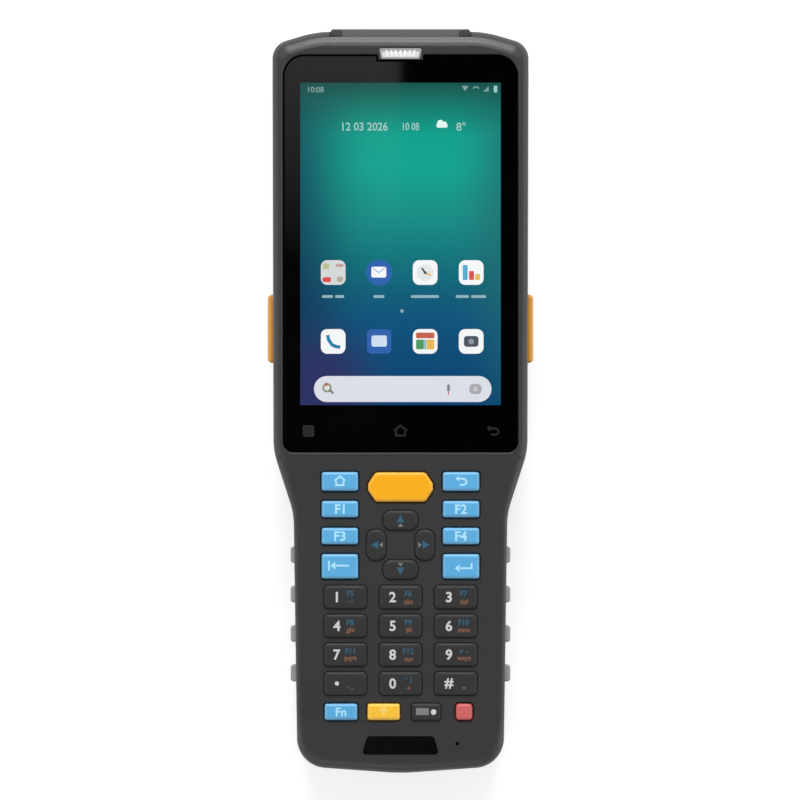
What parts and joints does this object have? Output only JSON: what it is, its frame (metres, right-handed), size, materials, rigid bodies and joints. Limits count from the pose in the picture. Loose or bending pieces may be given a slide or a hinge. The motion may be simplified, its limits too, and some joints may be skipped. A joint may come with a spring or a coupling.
{
  "type": "portable barcode data terminal",
  "caption": "Handheld barcode data terminal with a touch display over a colour-coded keypad, side triggers, a scan window in its head and a swing-out battery in its back.",
  "frame": {"origin": "on the bench under the middle of the terminal, which lies on its back", "axes": "+X to the right of the keypad, +Y towards the head, +Z out of the display"},
  "size_m": [0.0716, 0.199, 0.0273],
  "materials": {
    "housing": "fine-textured moulded PC/ABS",
    "bumper": "matt overmoulded TPU",
    "frame_metal": "die-cast magnesium alloy, chromate finish",
    "cover_glass": "polished chemically strengthened glass, black border print behind",
    "display": "backlit display panel",
    "grille": "silver-painted moulded grille",
    "speaker": "moulded speaker capsule",
    "inlay": "glossy black inlay",
    "silicone": "moulded silicone sheet",
    "board": "green solder mask on glass-epoxy",
    "dome_steel": "stamped stainless domes",
    "socket_steel": "stamped and plated shell",
    "engine": "moulded scan engine chassis",
    "scan_window": "tinted hard-coated acrylic",
    "battery": "fine-textured moulded pack casing",
    "latch": "moulded acetal",
    "contact_block": "moulded contact block with plated blades",
    "cover_rubber": "matt moulded TPU",
    "camera": "camera module",
    "camera_glass": "polished glass disc",
    "flash_lens": "moulded fresnel lens",
    "screw_steel": "black-nickel machine screws",
    "grip_rubber": "soft-touch rubber ribs",
    "seal_rubber": "moulded silicone seal",
    "brass": "knurled brass inserts",
    "key_blue": "satin hard-coated keycap",
    "key_orange": "satin hard-coated keycap",
    "key_yellow": "satin hard-coated keycap",
    "key_red": "satin hard-coated keycap",
    "key_dark": "satin hard-coated keycap"
  },
  "bodies": {
    "terminal": {"front_housing": "housing", "rear_housing": "housing", "head_bumper": "bumper", "inner_frame": "frame_metal", "cover_glass": "cover_glass", "lcd_module": "display", "earpiece_grille": "grille", "earpiece_speaker": "speaker", "loudspeaker": "speaker", "trim_inlay": "inlay", "keypad_mat": "silicone", "keypad_board": "board", "key_domes": "dome_steel", "main_board": "board", "card_socket": "socket_steel", "scan_engine": "engine", "scan_window": "scan_window", "battery_contacts": "contact_block", "usb_socket": "socket_steel", "camera_module": "camera", "camera_window": "camera_glass", "flash_lens": "flash_lens", "housing_screws": "screw_steel", "grip_pads": "grip_rubber", "housing_seal": "seal_rubber", "strap_inserts": "brass"},
    "battery_pack": {"battery_pack": "battery"},
    "battery_latch": {"battery_latch": "latch"},
    "port_cover": {"port_cover": "cover_rubber"},
    "left_trigger": {"left_trigger": "key_orange"},
    "right_trigger": {"right_trigger": "key_orange"},
    "key_home": {"key_home": "key_blue"},
    "key_back": {"key_back": "key_blue"},
    "key_scan": {"key_scan": "key_orange"},
    "key_f1": {"key_f1": "key_blue"},
    "key_f2": {"key_f2": "key_blue"},
    "key_f3": {"key_f3": "key_blue"},
    "key_f4": {"key_f4": "key_blue"},
    "key_delete": {"key_delete": "key_blue"},
    "key_enter": {"key_enter": "key_blue"},
    "key_up": {"key_up": "key_dark"},
    "key_down": {"key_down": "key_dark"},
    "key_left": {"key_left": "key_dark"},
    "key_right": {"key_right": "key_dark"},
    "key_1": {"key_1": "key_dark"},
    "key_2": {"key_2": "key_dark"},
    "key_3": {"key_3": "key_dark"},
    "key_4": {"key_4": "key_dark"},
    "key_5": {"key_5": "key_dark"},
    "key_6": {"key_6": "key_dark"},
    "key_7": {"key_7": "key_dark"},
    "key_8": {"key_8": "key_dark"},
    "key_9": {"key_9": "key_dark"},
    "key_point": {"key_point": "key_dark"},
    "key_0": {"key_0": "key_dark"},
    "key_hash": {"key_hash": "key_dark"},
    "key_fn": {"key_fn": "key_blue"},
    "key_shift": {"key_shift": "key_yellow"},
    "key_light": {"key_light": "key_dark"},
    "key_power": {"key_power": "key_red"}
  },
  "joints": [
    {"name": "battery_swing", "type": "hinge", "parent": "terminal", "child": "battery_pack", "pos_m": [0, -0.0826, 0.0034], "axis": [-1, 0, 0], "range_deg": [0, 35]},
    {"name": "battery_latch_slide", "type": "slide", "parent": "terminal", "child": "battery_latch", "axis": [0, 1, 0], "range_m": [0, 0.003], "stiffness_N_per_m": 300},
    {"name": "port_cover_flip", "type": "hinge", "parent": "terminal", "child": "port_cover", "pos_m": [0, -0.0985, 0.0096], "axis": [1, 0, 0], "range_deg": [0, 95]},
    {"name": "left_trigger_press", "type": "slide", "parent": "terminal", "child": "left_trigger", "axis": [1, 0, 0], "range_m": [0, 0.0008], "stiffness_N_per_m": 800},
    {"name": "right_trigger_press", "type": "slide", "parent": "terminal", "child": "right_trigger", "axis": [-1, 0, 0], "range_m": [0, 0.0008], "stiffness_N_per_m": 800},
    {"name": "key_home_press", "type": "slide", "parent": "terminal", "child": "key_home", "axis": [0, 0, -1], "range_m": [0, 0.0006], "stiffness_N_per_m": 500},
    {"name": "key_back_press", "type": "slide", "parent": "terminal", "child": "key_back", "axis": [0, 0, -1], "range_m": [0, 0.0006], "stiffness_N_per_m": 500},
    {"name": "key_scan_press", "type": "slide", "parent": "terminal", "child": "key_scan", "axis": [0, 0, -1], "range_m": [0, 0.0006], "stiffness_N_per_m": 500},
    {"name": "key_f1_press", "type": "slide", "parent": "terminal", "child": "key_f1", "axis": [0, 0, -1], "range_m": [0, 0.0006], "stiffness_N_per_m": 500},
    {"name": "key_f2_press", "type": "slide", "parent": "terminal", "child": "key_f2", "axis": [0, 0, -1], "range_m": [0, 0.0006], "stiffness_N_per_m": 500},
    {"name": "key_f3_press", "type": "slide", "parent": "terminal", "child": "key_f3", "axis": [0, 0, -1], "range_m": [0, 0.0006], "stiffness_N_per_m": 500},
    {"name": "key_f4_press", "type": "slide", "parent": "terminal", "child": "key_f4", "axis": [0, 0, -1], "range_m": [0, 0.0006], "stiffness_N_per_m": 500},
    {"name": "key_delete_press", "type": "slide", "parent": "terminal", "child": "key_delete", "axis": [0, 0, -1], "range_m": [0, 0.0006], "stiffness_N_per_m": 500},
    {"name": "key_enter_press", "type": "slide", "parent": "terminal", "child": "key_enter", "axis": [0, 0, -1], "range_m": [0, 0.0006], "stiffness_N_per_m": 500},
    {"name": "key_up_press", "type": "slide", "parent": "terminal", "child": "key_up", "axis": [0, 0, -1], "range_m": [0, 0.0006], "stiffness_N_per_m": 500},
    {"name": "key_down_press", "type": "slide", "parent": "terminal", "child": "key_down", "axis": [0, 0, -1], "range_m": [0, 0.0006], "stiffness_N_per_m": 500},
    {"name": "key_left_press", "type": "slide", "parent": "terminal", "child": "key_left", "axis": [0, 0, -1], "range_m": [0, 0.0006], "stiffness_N_per_m": 500},
    {"name": "key_right_press", "type": "slide", "parent": "terminal", "child": "key_right", "axis": [0, 0, -1], "range_m": [0, 0.0006], "stiffness_N_per_m": 500},
    {"name": "key_1_press", "type": "slide", "parent": "terminal", "child": "key_1", "axis": [0, 0, -1], "range_m": [0, 0.0006], "stiffness_N_per_m": 500},
    {"name": "key_2_press", "type": "slide", "parent": "terminal", "child": "key_2", "axis": [0, 0, -1], "range_m": [0, 0.0006], "stiffness_N_per_m": 500},
    {"name": "key_3_press", "type": "slide", "parent": "terminal", "child": "key_3", "axis": [0, 0, -1], "range_m": [0, 0.0006], "stiffness_N_per_m": 500},
    {"name": "key_4_press", "type": "slide", "parent": "terminal", "child": "key_4", "axis": [0, 0, -1], "range_m": [0, 0.0006], "stiffness_N_per_m": 500},
    {"name": "key_5_press", "type": "slide", "parent": "terminal", "child": "key_5", "axis": [0, 0, -1], "range_m": [0, 0.0006], "stiffness_N_per_m": 500},
    {"name": "key_6_press", "type": "slide", "parent": "terminal", "child": "key_6", "axis": [0, 0, -1], "range_m": [0, 0.0006], "stiffness_N_per_m": 500},
    {"name": "key_7_press", "type": "slide", "parent": "terminal", "child": "key_7", "axis": [0, 0, -1], "range_m": [0, 0.0006], "stiffness_N_per_m": 500},
    {"name": "key_8_press", "type": "slide", "parent": "terminal", "child": "key_8", "axis": [0, 0, -1], "range_m": [0, 0.0006], "stiffness_N_per_m": 500},
    {"name": "key_9_press", "type": "slide", "parent": "terminal", "child": "key_9", "axis": [0, 0, -1], "range_m": [0, 0.0006], "stiffness_N_per_m": 500},
    {"name": "key_point_press", "type": "slide", "parent": "terminal", "child": "key_point", "axis": [0, 0, -1], "range_m": [0, 0.0006], "stiffness_N_per_m": 500},
    {"name": "key_0_press", "type": "slide", "parent": "terminal", "child": "key_0", "axis": [0, 0, -1], "range_m": [0, 0.0006], "stiffness_N_per_m": 500},
    {"name": "key_hash_press", "type": "slide", "parent": "terminal", "child": "key_hash", "axis": [0, 0, -1], "range_m": [0, 0.0006], "stiffness_N_per_m": 500},
    {"name": "key_fn_press", "type": "slide", "parent": "terminal", "child": "key_fn", "axis": [0, 0, -1], "range_m": [0, 0.0006], "stiffness_N_per_m": 500},
    {"name": "key_shift_press", "type": "slide", "parent": "terminal", "child": "key_shift", "axis": [0, 0, -1], "range_m": [0, 0.0006], "stiffness_N_per_m": 500},
    {"name": "key_light_press", "type": "slide", "parent": "terminal", "child": "key_light", "axis": [0, 0, -1], "range_m": [0, 0.0006], "stiffness_N_per_m": 500},
    {"name": "key_power_press", "type": "slide", "parent": "terminal", "child": "key_power", "axis": [0, 0, -1], "range_m": [0, 0.0006], "stiffness_N_per_m": 500}
  ]
}
